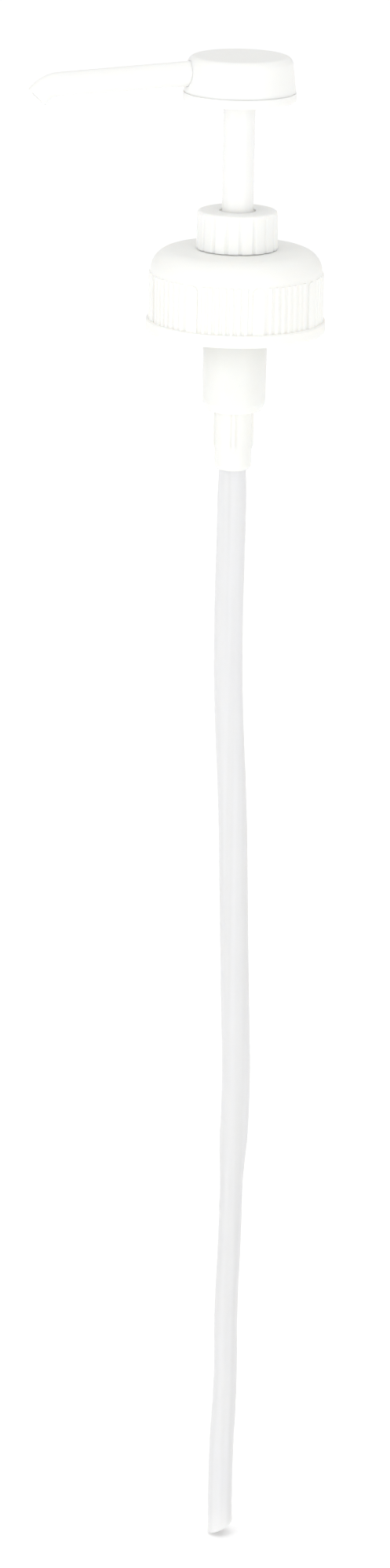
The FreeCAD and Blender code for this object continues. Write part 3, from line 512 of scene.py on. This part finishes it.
def new_tree(name: str, sizes: dict[str, float]) -> tuple[bpy.types.NodeTree, bpy.types.NodeOutputs]:
    """Start a Geometry Nodes tree with named inputs.

    Args:
        name: the tree's name.
        sizes: each input's name and value.

    Returns:
        The tree, and the outputs that give its inputs.
    """
    tree = bpy.data.node_groups.new(name, "GeometryNodeTree")
    tree.interface.new_socket("Geometry", in_out="OUTPUT", socket_type="NodeSocketGeometry")
    for label, value in sizes.items():
        socket = tree.interface.new_socket(label, in_out="INPUT", socket_type="NodeSocketFloat")
        socket.default_value = value
    return tree, add_node(tree, "NodeGroupInput").outputs


def end_tree(tree: bpy.types.NodeTree, geometry: bpy.types.NodeSocket,
             material: bpy.types.Material) -> None:
    """Realize the instances, set the material and close the tree.

    Args:
        tree: the tree.
        geometry: what it made.
        material: the material to set.
    """
    real = add_node(tree, "GeometryNodeRealizeInstances", {"Geometry": geometry})
    dressed = add_node(tree, "GeometryNodeSetMaterial", {
        "Geometry": real.outputs["Geometry"], "Material": material,
    })
    add_node(tree, "NodeGroupOutput", {"Geometry": dressed.outputs["Geometry"]})


def grown(name: str, tree: bpy.types.NodeTree, sizes: dict[str, float]) -> bpy.types.Mesh:
    """Run a tree on an empty mesh and keep the result as a plain mesh.

    Args:
        name: the new mesh's name.
        tree: the tree.
        sizes: each input's name and value.

    Returns:
        The mesh.
    """
    seed = bpy.data.objects.new(f"{name}_seed", bpy.data.meshes.new(f"{name}_seed"))
    bpy.context.scene.collection.objects.link(seed)
    modifier = seed.modifiers.new("nodes", "NODES")
    modifier.node_group = tree
    for item in tree.interface.items_tree:
        if item.in_out == "INPUT":
            modifier[item.identifier] = sizes[item.name]
    bpy.context.view_layer.update()
    graph = bpy.context.evaluated_depsgraph_get()
    mesh = bpy.data.meshes.new_from_object(seed.evaluated_get(graph))
    mesh.name = name
    bpy.data.objects.remove(seed)
    return mesh


@dataclass
class ReturnSpring:
    """Compression spring of round wire with closed ends, which shortens as the head goes down; this
    one keeps its full length.
    """

    foot: float = -48.9 * MM
    length: float = 71.9 * MM
    radius: float = 3.7 * MM
    wire: float = 1.1 * MM
    turns: float = 11.0
    end_turns: float = 1.5
    # how far apart the closed turns lie, in wires
    end_pitch: float = 1.02
    stroke: float = 38.0 * MM
    steps_in_turn: int = 40
    wire_sides: int = 14

    def build(self, dresser: Dresser) -> None:
        """Make the spring at its full length.

        Args:
            dresser: puts the finish on.
        """
        sizes = {
            "Radius": self.radius, "Wire Radius": self.wire / 2, "Turns": self.turns,
            "Rise": self.length - self.wire, "Closed Share": self.end_turns / self.turns,
            "Closed Rise": self.end_turns * self.wire * self.end_pitch,
        }
        mesh = grown("return_spring_wire", self.tree(dresser.material(SPRING_STEEL), sizes), sizes)
        mesh.transform(Matrix.Translation((0.0, 0.0, self.foot + self.wire / 2)))
        piece = dresser.new_piece("return_spring_wire", mesh, SPRING_STEEL, Carrier.HOUSING,
                                  ["return_spring"])
        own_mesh(piece)

    def tree(self, material: bpy.types.Material, sizes: dict[str, float]) -> bpy.types.NodeTree:
        """Build the tree of the coil.

        Args:
            material: the wire's material.
            sizes: the tree's inputs.

        Returns:
            The tree.
        """
        tree, given = new_tree("coil_spring", sizes)
        spiral = add_node(tree, "GeometryNodeCurveSpiral", {
            "Resolution": self.steps_in_turn, "Rotations": given["Turns"],
            "Start Radius": given["Radius"], "End Radius": given["Radius"], "Height": 0.0,
        })
        lift = add_node(tree, "ShaderNodeCombineXYZ", {"Z": self.climb(tree, given)})
        coil = add_node(tree, "GeometryNodeSetPosition", {
            "Geometry": spiral.outputs["Curve"], "Offset": lift.outputs["Vector"],
        })
        section = add_node(tree, "GeometryNodeCurvePrimitiveCircle", {
            "Resolution": self.wire_sides, "Radius": given["Wire Radius"],
        })
        wire = add_node(tree, "GeometryNodeCurveToMesh", {
            "Curve": coil.outputs["Geometry"], "Profile Curve": section.outputs["Curve"],
            "Fill Caps": True,
        })
        smooth = add_node(tree, "GeometryNodeSetShadeSmooth", {"Geometry": wire.outputs["Mesh"]})
        end_tree(tree, smooth.outputs["Geometry"], material)
        return tree

    def climb(self, tree: bpy.types.NodeTree, given: bpy.types.NodeOutputs) -> bpy.types.NodeSocket:
        """Work out how high the wire has climbed: slowly at both ends, faster between them.

        Args:
            tree: the tree.
            given: the tree's inputs.

        Returns:
            The height's output.
        """
        along = add_node(tree, "GeometryNodeSplineParameter").outputs["Factor"]
        far_share = add_node(tree, "ShaderNodeMath", {0: 1.0, 1: given["Closed Share"]},
                             operation="SUBTRACT").outputs[0]
        far_rise = add_node(tree, "ShaderNodeMath", {0: given["Rise"], 1: given["Closed Rise"]},
                            operation="SUBTRACT").outputs[0]
        open_rise = add_node(tree, "ShaderNodeMath", {0: far_rise, 1: given["Closed Rise"]},
                             operation="SUBTRACT").outputs[0]
        low = add_node(tree, "ShaderNodeMapRange", {
            "Value": along, "From Min": 0.0, "From Max": given["Closed Share"],
            "To Min": 0.0, "To Max": given["Closed Rise"],
        }).outputs["Result"]
        middle = add_node(tree, "ShaderNodeMapRange", {
            "Value": along, "From Min": given["Closed Share"], "From Max": far_share,
            "To Min": 0.0, "To Max": open_rise,
        }).outputs["Result"]
        top = add_node(tree, "ShaderNodeMapRange", {
            "Value": along, "From Min": far_share, "From Max": 1.0,
            "To Min": 0.0, "To Max": given["Closed Rise"],
        }).outputs["Result"]
        lower_two = add_node(tree, "ShaderNodeMath", {0: low, 1: middle}, operation="ADD").outputs[0]
        return add_node(tree, "ShaderNodeMath", {0: lower_two, 1: top}, operation="ADD").outputs[0]


@dataclass
class ScrewCap:
    """Wide ribbed cap, with the thread inside that screws on the canister's neck."""

    bore: float = 30.5 * MM
    low: float = -18.6 * MM
    # how deep the thread's root lies in the cap's wall
    sunk: float = 0.25 * MM
    thread_depth: float = 1.3 * MM
    thread_foot: float = 2.4 * MM
    thread_crest: float = 1.0 * MM
    pitch: float = 5.0 * MM
    turns: float = 2.4
    # share of the thread over which each end fades, and what is left of it at the tip
    run_out: float = 0.12
    tip: float = 0.05
    steps_in_turn: int = 96

    def build(self, dresser: Dresser) -> None:
        """Dress the cap and add its thread.

        Args:
            dresser: puts the finish on.
        """
        dresser.dress_node("screw_cap", CAP_PLASTIC)
        sizes = {
            "Radius": self.bore + self.sunk, "Turns": self.turns, "Rise": self.pitch * self.turns,
            "Depth": self.thread_depth + self.sunk, "Foot": self.thread_foot,
            "Crest": self.thread_crest, "Run Out": self.run_out,
        }
        mesh = grown("cap_thread", self.tree(dresser.material(CAP_PLASTIC), sizes), sizes)
        mesh.transform(Matrix.Translation((0.0, 0.0, self.low)))
        dresser.new_piece("cap_thread", mesh, CAP_PLASTIC, Carrier.CAP)

    def tree(self, material: bpy.types.Material, sizes: dict[str, float]) -> bpy.types.NodeTree:
        """Build the tree of the thread, which runs out at both ends.

        Args:
            material: the cap's material.
            sizes: the tree's inputs.

        Returns:
            The tree.
        """
        tree, given = new_tree("inner_thread", sizes)
        helix = add_node(tree, "GeometryNodeCurveSpiral", {
            "Resolution": self.steps_in_turn, "Rotations": given["Turns"],
            "Start Radius": given["Radius"], "End Radius": given["Radius"], "Height": given["Rise"],
        })
        upright = add_node(tree, "GeometryNodeSetCurveNormal", {"Curve": helix.outputs["Curve"]},
                           mode="Z_UP")
        along = add_node(tree, "GeometryNodeSplineParameter").outputs["Factor"]
        start = add_node(tree, "ShaderNodeMapRange", {
            "Value": along, "From Min": 0.0, "From Max": given["Run Out"],
            "To Min": self.tip, "To Max": 1.0,
        }).outputs["Result"]
        run_out = add_node(tree, "ShaderNodeMath", {0: 1.0, 1: given["Run Out"]}, operation="SUBTRACT")
        finish = add_node(tree, "ShaderNodeMapRange", {
            "Value": along, "From Min": run_out.outputs[0], "From Max": 1.0,
            "To Min": 1.0, "To Max": self.tip,
        }).outputs["Result"]
        share = add_node(tree, "ShaderNodeMath", {0: start, 1: finish}, operation="MINIMUM")
        ridge = add_node(tree, "GeometryNodeCurveToMesh", {
            "Curve": upright.outputs["Curve"], "Profile Curve": self.section(tree, given),
            "Fill Caps": True, "Scale": share.outputs[0],
        })
        end_tree(tree, ridge.outputs["Mesh"], material)
        return tree

    def section(self, tree: bpy.types.NodeTree, given: bpy.types.NodeOutputs) -> bpy.types.NodeSocket:
        """Draw the thread's section: wide at the wall, narrow at its crest, which points inwards.

        Args:
            tree: the tree.
            given: the tree's inputs.

        Returns:
            The section's curve.
        """
        shape = add_node(tree, "GeometryNodeCurvePrimitiveQuadrilateral", {
            "Height": given["Depth"], "Bottom Width": given["Foot"], "Top Width": given["Crest"],
            "Offset": 0.0,
        }, mode="TRAPEZOID")
        half = add_node(tree, "ShaderNodeMath", {0: given["Depth"], 1: 0.5}, operation="MULTIPLY")
        shift = add_node(tree, "ShaderNodeCombineXYZ", {"X": half.outputs[0]})
        moved = add_node(tree, "GeometryNodeTransform", {
            "Geometry": shape.outputs["Curve"], "Translation": shift.outputs["Vector"],
            "Rotation": (0.0, 0.0, -math.pi / 2),
        })
        return moved.outputs["Geometry"]


@dataclass
class DipTube:
    """Long suction tube, bowed by the coil that it was cut from, pressed oval, cut slanting."""

    top: float = -63.99 * MM
    # how far the centre is out of line, and how far down, both in millimetres
    route: tuple[tuple[float, float], ...] = (
        (0.0, 0.0), (0.0, 36.0), (-0.6, 73.0), (0.1, 108.0), (2.6, 148.0), (3.8, 190.0),
        (5.0, 230.0), (6.4, 266.0), (5.0, 302.0), (4.8, 334.0), (3.7, 364.0), (4.4, 396.0),
        (2.6, 430.0), (3.2, 462.0),
    )
    turn: float = math.radians(-15.0)
    radius: float = 5.2 * MM
    wall: float = 1.2 * MM
    # how far down, and the half width in the plane of the bow, both in millimetres
    widths: tuple[tuple[float, float], ...] = (
        (0.0, 5.2), (12.5, 5.2), (24.0, 5.6), (286.0, 5.65), (310.0, 4.6), (385.0, 4.7),
        (420.0, 4.95), (462.0, 4.95),
    )
    # the oval's other half axis grows by this much of its pressing, squared, over the radius
    oval_gain: float = 0.25
    slant: float = math.radians(28.0)
    # over how many radii above the end the rings lean over to the slanting cut
    slant_reach: float = 2.4
    sides: int = 48
    steps_in_span: int = 16
    crease: float = math.radians(40)

    def build(self, dresser: Dresser) -> None:
        """Make the tube's mesh and let it stand for the CAD tube.

        Args:
            dresser: puts the finish on.
        """
        mesh = self.mesh(self.centre_line())
        dresser.new_piece("dip_tube_extruded", mesh, TUBE_PLASTIC, Carrier.HOUSING,
                          ["dip_tube"])

    def across(self) -> Vector:
        """Return the direction that the tube bows in."""
        return Vector((math.cos(self.turn), math.sin(self.turn), 0.0))

    def centre_line(self) -> list[Vector]:
        """Read the points of one smooth spline through the route.

        Returns:
            Points in metres, from the top down.
        """
        across = self.across()
        curve = bpy.data.curves.new("dip_tube_line", "CURVE")
        curve.dimensions = "3D"
        spline = curve.splines.new("NURBS")
        spline.points.add(len(self.route) - 1)
        for point, (bow, down) in zip(spline.points, self.route):
            place = across * (bow * MM) + Vector((0.0, 0.0, self.top - down * MM))
            point.co = (*place, 1.0)
        spline.order_u = 3
        spline.use_endpoint_u = True
        spline.resolution_u = self.steps_in_span
        line = bpy.data.objects.new("dip_tube_line", curve)
        bpy.context.scene.collection.objects.link(line)
        graph = bpy.context.evaluated_depsgraph_get()
        mesh = bpy.data.meshes.new_from_object(line.evaluated_get(graph))
        points = [vertex.co.copy() for vertex in mesh.vertices]
        bpy.data.objects.remove(line)
        bpy.data.meshes.remove(mesh)
        return points

    def half_width(self, down: float) -> float:
        """Half the tube's width in the plane of its bow, this far down.

        Args:
            down: metres below the tube's upper end.

        Returns:
            Metres.
        """
        place = down / MM
        for (low, wide), (high, next_wide) in zip(self.widths, self.widths[1:]):
            if place <= high:
                share = max(0.0, (place - low) / (high - low))
                eased = share * share * (3 - 2 * share)
                return (wide + (next_wide - wide) * eased) * MM
        return self.widths[-1][1] * MM

    def half_depth(self, half_width: float) -> float:
        """The other half axis of an oval with about the round tube's girth.

        Args:
            half_width: the first half axis.

        Returns:
            Metres.
        """
        pressing = half_width - self.radius
        return 2 * self.radius - half_width + self.oval_gain * pressing ** 2 / self.radius

    def corners(self, line: Sequence[Vector]) -> list[tuple[float, ...]]:
        """Place the rings of the outer skin, and then those of the inner one.

        Args:
            line: the centre line.

        Returns:
            The corners' places.
        """
        across = self.across()
        behind = Vector((-math.sin(self.turn), math.cos(self.turn), 0.0))
        reach = self.radius * self.slant_reach
        end = line[-1].z
        places: list[tuple[float, ...]] = []
        for inset in (0.0, self.wall):
            for centre in line:
                wide = self.half_width(self.top - centre.z)
                deep = self.half_depth(wide)
                rise = min(1.0, max(0.0, 1 - (centre.z - end) / reach))
                for side in range(self.sides):
                    angle = math.tau * side / self.sides
                    u = (wide - inset) * math.cos(angle)
                    v = (deep - inset) * math.sin(angle)
                    lift = rise * (u + self.radius) * math.tan(self.slant)
                    places.append(tuple(centre + across * u + behind * v + Vector((0.0, 0.0, lift))))
        return places

    def faces(self, rings: int) -> list[tuple[int, ...]]:
        """Join the rings of each skin, and the two skins at both ends.

        Args:
            rings: how many rings a skin has.

        Returns:
            Each face's corners.
        """
        def corner(skin: int, ring: int, side: int) -> int:
            """Number of a corner on the outer or inner skin."""
            return (skin * rings + ring) * self.sides + side % self.sides

        faces: list[tuple[int, ...]] = []
        for side in range(self.sides):
            for ring in range(rings - 1):
                for skin in (0, 1):
                    four = [corner(skin, ring, side), corner(skin, ring + 1, side),
                            corner(skin, ring + 1, side + 1), corner(skin, ring, side + 1)]
                    faces.append(tuple(four if skin == 0 else reversed(four)))
            for ring in (0, rings - 1):
                four = [corner(0, ring, side), corner(0, ring, side + 1),
                        corner(1, ring, side + 1), corner(1, ring, side)]
                faces.append(tuple(four if ring == 0 else reversed(four)))
        return faces

    def mesh(self, line: Sequence[Vector]) -> bpy.types.Mesh:
        """Sweep the oval wall along the line.

        Args:
            line: the centre line.

        Returns:
            A closed mesh of the wall.
        """
        made = bpy.data.meshes.new("dip_tube_extruded")
        made.from_pydata(self.corners(line), [], self.faces(len(line)))
        made.validate()
        made.set_sharp_from_angle(angle=self.crease)
        for polygon in made.polygons:
            polygon.use_smooth = True
        return made


@dataclass
class DispensingHead:
    """The head that is pressed, with its spout, its outlet valve and the bead that snaps it shut."""

    bead_radius: float = 20.74 * MM
    bead_thick: float = 0.3 * MM
    bead_height: float = 70.0 * MM
    bead_steps: int = 120
    bead_sides: int = 12

    def build(self, dresser: Dresser) -> None:
        """Dress the head's pieces and lay the snap bead in the groove between shell and base.

        Args:
            dresser: puts the finishes on.
        """
        dresser.dress_node("head_shell", HEAD_PLASTIC)
        dresser.dress_node("head_base", HEAD_PLASTIC)
        dresser.dress_node("spout", SPOUT_PLASTIC)
        dresser.dress_node("outlet_cage", NATURAL_PLASTIC)
        dresser.dress_node("outlet_ball", BALL_STEEL)
        sizes = {"Radius": self.bead_radius, "Thickness": self.bead_thick}
        mesh = grown("head_snap_bead", self.tree(dresser.material(HEAD_PLASTIC), sizes), sizes)
        mesh.transform(Matrix.Translation((0.0, 0.0, self.bead_height)))
        dresser.new_piece("head_snap_bead", mesh, HEAD_PLASTIC, Carrier.PLUNGER)

    def tree(self, material: bpy.types.Material, sizes: dict[str, float]) -> bpy.types.NodeTree:
        """Build the tree of the round bead.

        Args:
            material: the head's material.
            sizes: the tree's inputs.

        Returns:
            The tree.
        """
        tree, given = new_tree("round_bead", sizes)
        path = add_node(tree, "GeometryNodeCurvePrimitiveCircle", {
            "Resolution": self.bead_steps, "Radius": given["Radius"],
        })
        section = add_node(tree, "GeometryNodeCurvePrimitiveCircle", {
            "Resolution": self.bead_sides, "Radius": given["Thickness"],
        })
        ring = add_node(tree, "GeometryNodeCurveToMesh", {
            "Curve": path.outputs["Curve"], "Profile Curve": section.outputs["Curve"],
        })
        smooth = add_node(tree, "GeometryNodeSetShadeSmooth", {"Geometry": ring.outputs["Mesh"]})
        end_tree(tree, smooth.outputs["Geometry"], material)
        return tree


@dataclass
class Plunger:
    """The hollow stem and the piston on its lower end."""

    def build(self, dresser: Dresser) -> None:
        """Dress the stem and the piston.

        Args:
            dresser: puts the finishes on.
        """
        dresser.dress_node("stem", STEM_PLASTIC)
        dresser.dress_node("piston_carrier", BARREL_PLASTIC)
        dresser.dress_node("piston_seal", NATURAL_PLASTIC)


@dataclass
class CollarAndGuide:
    """The fluted collar and what it holds in the barrel's mouth."""

    def build(self, dresser: Dresser) -> None:
        """Dress the collar, the guide and their seals.

        Args:
            dresser: puts the finishes on.
        """
        dresser.dress_node("collar_nut", COLLAR_PLASTIC)
        dresser.dress_node("stem_guide", BARREL_PLASTIC)
        dresser.dress_node("stem_wiper", WIPER_RUBBER)
        dresser.dress_node("guide_seal", WIPER_RUBBER)


@dataclass
class PumpBarrel:
    """The pump body with its gasket and its suction valve."""

    def build(self, dresser: Dresser) -> None:
        """Dress the barrel and what belongs to it.

        Args:
            dresser: puts the finishes on.
        """
        dresser.dress_node("pump_body", BARREL_PLASTIC)
        dresser.dress_node("ball_cage", NATURAL_PLASTIC)
        dresser.dress_node("inlet_ball", BALL_STEEL)
        dresser.dress_node("neck_gasket", GASKET_FOAM)


@dataclass
class Studio:
    """Pale floor, soft lights and the camera at the photograph's viewing angle."""

    floor_height: float = -0.5265
    floor_size: float = 100.0
    floor_colour: str = "#fafafa"
    floor_roughness: float = 0.9
    floor_glow: float = 0.12
    # strength of the white around the pump, at the horizon and overhead
    horizon: float = 0.54
    zenith: float = 1.15
    lamps: tuple[tuple[str, tuple[float, float, float]], ...] = (
        ("key", (-2.75, -1.28, 0.7)),
        ("fill", (0.8, -2.95, 0.3)),
    )
    lamp_width: float = 1.6
    lamp_height: float = 2.4
    lamp_power: float = 21.0
    lamp_target: tuple[float, float, float] = (0.0, 0.0, -0.1)
    distance: float = 1.900
    camera_height: float = 0.3794
    pitch: float = math.radians(17.07)
    azimuth: float = math.radians(-15.0)
    roll: float = math.radians(1.0)
    sensor: float = 36.0
    nearest: float = 0.05
    farthest: float = 150.0
    # measured in the photograph's pixels
    pixels_long: float = 2000.0
    focal_pixels: float = 6441.0
    axis_right: float = 42.0

    def build(self) -> None:
        """Set up the floor, the lights, the world and the camera."""
        self.floor()
        self.light()
        self.camera()

    def floor(self) -> None:
        """Lay a wide pale floor under the dip tube's end."""
        half = self.floor_size / 2
        signs = ((-1, -1), (1, -1), (1, 1), (-1, 1))
        corners = [(x * half, y * half, self.floor_height) for x, y in signs]
        mesh = bpy.data.meshes.new("studio_floor")
        mesh.from_pydata(corners, [], [(0, 1, 2, 3)])
        floor = bpy.data.objects.new("studio_floor", mesh)
        bpy.context.scene.collection.objects.link(floor)
        material = empty_material("painted_studio_floor")
        shader = add_node(material.node_tree, "ShaderNodeBsdfPrincipled", {
            "Base Color": linear(self.floor_colour), "Roughness": self.floor_roughness,
            "Emission Color": linear("#ffffff"), "Emission Strength": self.floor_glow,
        })
        add_node(material.node_tree, "ShaderNodeOutputMaterial", {"Surface": shader.outputs["BSDF"]})
        mesh.materials.append(material)

    def light(self) -> None:
        """Surround the pump with white, brighter overhead, and add large soft lamps in front."""
        world = bpy.data.worlds.new("white_studio")
        bpy.context.scene.world = world
        world.use_nodes = True
        tree = world.node_tree
        backdrop = next(node for node in tree.nodes if node.type == "BACKGROUND")
        backdrop.inputs["Color"].default_value = linear("#ffffff")
        toward = add_node(tree, "ShaderNodeTexCoord").outputs["Generated"]
        upward = add_node(tree, "ShaderNodeSeparateXYZ", {"Vector": toward}).outputs["Z"]
        glow = add_node(tree, "ShaderNodeMapRange", {
            "Value": upward, "To Min": self.horizon, "To Max": self.zenith,
        })
        tree.links.new(glow.outputs["Result"], backdrop.inputs["Strength"])
        for name, place in self.lamps:
            lamp = bpy.data.lights.new(name, "AREA")
            lamp.shape = "RECTANGLE"
            lamp.size = self.lamp_width
            lamp.size_y = self.lamp_height
            lamp.energy = self.lamp_power
            holder = bpy.data.objects.new(name, lamp)
            holder.location = place
            aim = Vector(self.lamp_target) - Vector(place)
            holder.rotation_euler = aim.to_track_quat("-Z", "Y").to_euler()
            bpy.context.scene.collection.objects.link(holder)

    def camera(self) -> None:
        """Place the camera as the photograph's was."""
        lens = bpy.data.cameras.new("photo_camera")
        lens.sensor_fit = "AUTO"
        lens.sensor_width = self.sensor
        lens.lens = self.focal_pixels * self.sensor / self.pixels_long
        lens.clip_start = self.nearest
        lens.clip_end = self.farthest
        camera = bpy.data.objects.new("photo_camera", lens)
        aside = math.atan2(self.axis_right, self.focal_pixels)
        facing = Euler((0.0, 0.0, self.azimuth + aside)).to_matrix()
        tilt = Euler((math.pi / 2 - self.pitch, 0.0, 0.0)).to_matrix()
        lean = Euler((0.0, 0.0, self.roll)).to_matrix()
        away = Vector((math.sin(self.azimuth), -math.cos(self.azimuth), 0.0)) * self.distance
        place = Matrix.Translation(away + Vector((0.0, 0.0, self.camera_height)))
        camera.matrix_world = place @ (facing @ tilt @ lean).to_4x4()
        bpy.context.scene.collection.objects.link(camera)
        bpy.context.scene.camera = camera
        bpy.context.scene.view_settings.view_transform = "Standard"


def main() -> None:
    """Load the frame, dress it, add the finer pieces and set up the studio."""
    logging.basicConfig(level=logging.INFO, format="%(message)s")
    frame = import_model()
    dresser = Dresser(frame["nodes"])
    for part in (DispensingHead(), Plunger(), CollarAndGuide(), ScrewCap(), PumpBarrel(),
                 ReturnSpring(), DipTube()):
        part.build(dresser)
        LOG.info("%s is done", type(part).__name__)
    Studio().build()


if __name__ == "__main__":
    main()
